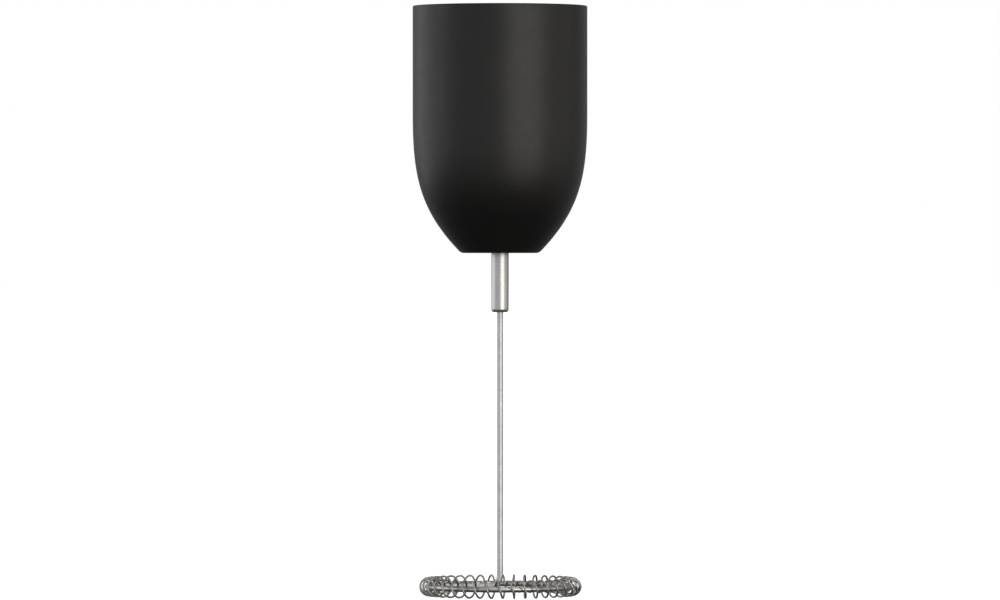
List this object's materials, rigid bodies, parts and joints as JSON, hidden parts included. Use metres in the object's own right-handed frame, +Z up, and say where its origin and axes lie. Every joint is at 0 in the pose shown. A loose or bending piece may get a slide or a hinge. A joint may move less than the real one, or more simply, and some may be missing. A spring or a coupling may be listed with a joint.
{
  "type": "milk frother attachment",
  "caption": "Geared frothing attachment for a hand blender: a black coupling cup with a bayonet socket, and a plug-in steel stem and wire hoop with a spring wound round it.",
  "frame": {"origin": "on the drive axis in the plane of the cup's rim, where the motor unit seats", "axes": "+Z up along the drive axis out of the socket, so the tool points down; the spoke under the hoop points to -X"},
  "size_m": [0.06, 0.06, 0.2027],
  "materials": {
    "black_abs": "satin moulded",
    "black_nylon": "moulded",
    "grey_plastic": "moulded",
    "white_acetal": "moulded",
    "stainless_steel": "polished",
    "spring_steel": "bright drawn",
    "ground_steel": "ground",
    "zinc_steel": "zinc plated",
    "bronze": "sintered",
    "seal_rubber": "matt"
  },
  "bodies": {
    "cup": {"outer_cup": "black_abs", "lock_ring": "black_nylon", "nose_seal": "seal_rubber", "chassis_screw_1": "zinc_steel", "chassis_screw_2": "zinc_steel", "chassis_screw_3": "zinc_steel", "gearbox_cover": "grey_plastic", "gearbox_case": "grey_plastic", "ring_gear": "white_acetal", "input_bush": "bronze", "shaft_seal": "seal_rubber", "upper_bush": "bronze", "lower_bush": "bronze"},
    "input": {"drive_dog": "black_nylon", "input_shaft": "ground_steel", "sun_gear": "ground_steel", "dog_cross_pin": "ground_steel", "sun_spacer": "bronze"},
    "planet_1": {"planet_gear_1": "white_acetal"},
    "planet_2": {"planet_gear_2": "white_acetal"},
    "planet_3": {"planet_gear_3": "white_acetal"},
    "output": {"planet_carrier": "ground_steel", "planet_pin_1": "ground_steel", "planet_pin_2": "ground_steel", "planet_pin_3": "ground_steel", "carrier_washer": "bronze", "output_spindle": "ground_steel", "stem_clip": "spring_steel", "spindle_washer": "bronze", "spindle_clip": "spring_steel"},
    "tool": {"tool_stem": "stainless_steel", "rod_and_spoke": "stainless_steel", "whisk_hoop": "stainless_steel", "hoop_spring": "spring_steel"}
  },
  "joints": [
    {"name": "output_spin", "type": "hinge", "parent": "cup", "child": "output", "pos_m": [0, 0, -0.06], "axis": [0, 0, 1], "continuous": true},
    {"name": "input_spin", "type": "hinge", "parent": "cup", "child": "input", "pos_m": [0, 0, -0.025], "axis": [0, 0, 1], "continuous": true},
    {"name": "planet_1_spin", "type": "hinge", "parent": "output", "child": "planet_1", "pos_m": [0, 0.00975, -0.0334], "axis": [0, 0, 1], "continuous": true},
    {"name": "planet_2_spin", "type": "hinge", "parent": "output", "child": "planet_2", "pos_m": [-0.00844, -0.00487, -0.0334], "axis": [0, 0, 1], "continuous": true},
    {"name": "planet_3_spin", "type": "hinge", "parent": "output", "child": "planet_3", "pos_m": [0.00844, -0.00487, -0.0334], "axis": [0, 0, 1], "continuous": true},
    {"name": "tool_pull", "type": "slide", "parent": "output", "child": "tool", "axis": [0, 0, -1], "range_m": [0, 0.036], "deforming": ["stem_clip"]}
  ],
  "couplings": [
    {"joint": "input_spin", "follows": "output_spin", "ratio": 5},
    {"joint": "planet_1_spin", "follows": "output_spin", "ratio": -2.6667},
    {"joint": "planet_2_spin", "follows": "output_spin", "ratio": -2.6667},
    {"joint": "planet_3_spin", "follows": "output_spin", "ratio": -2.6667}
  ]
}
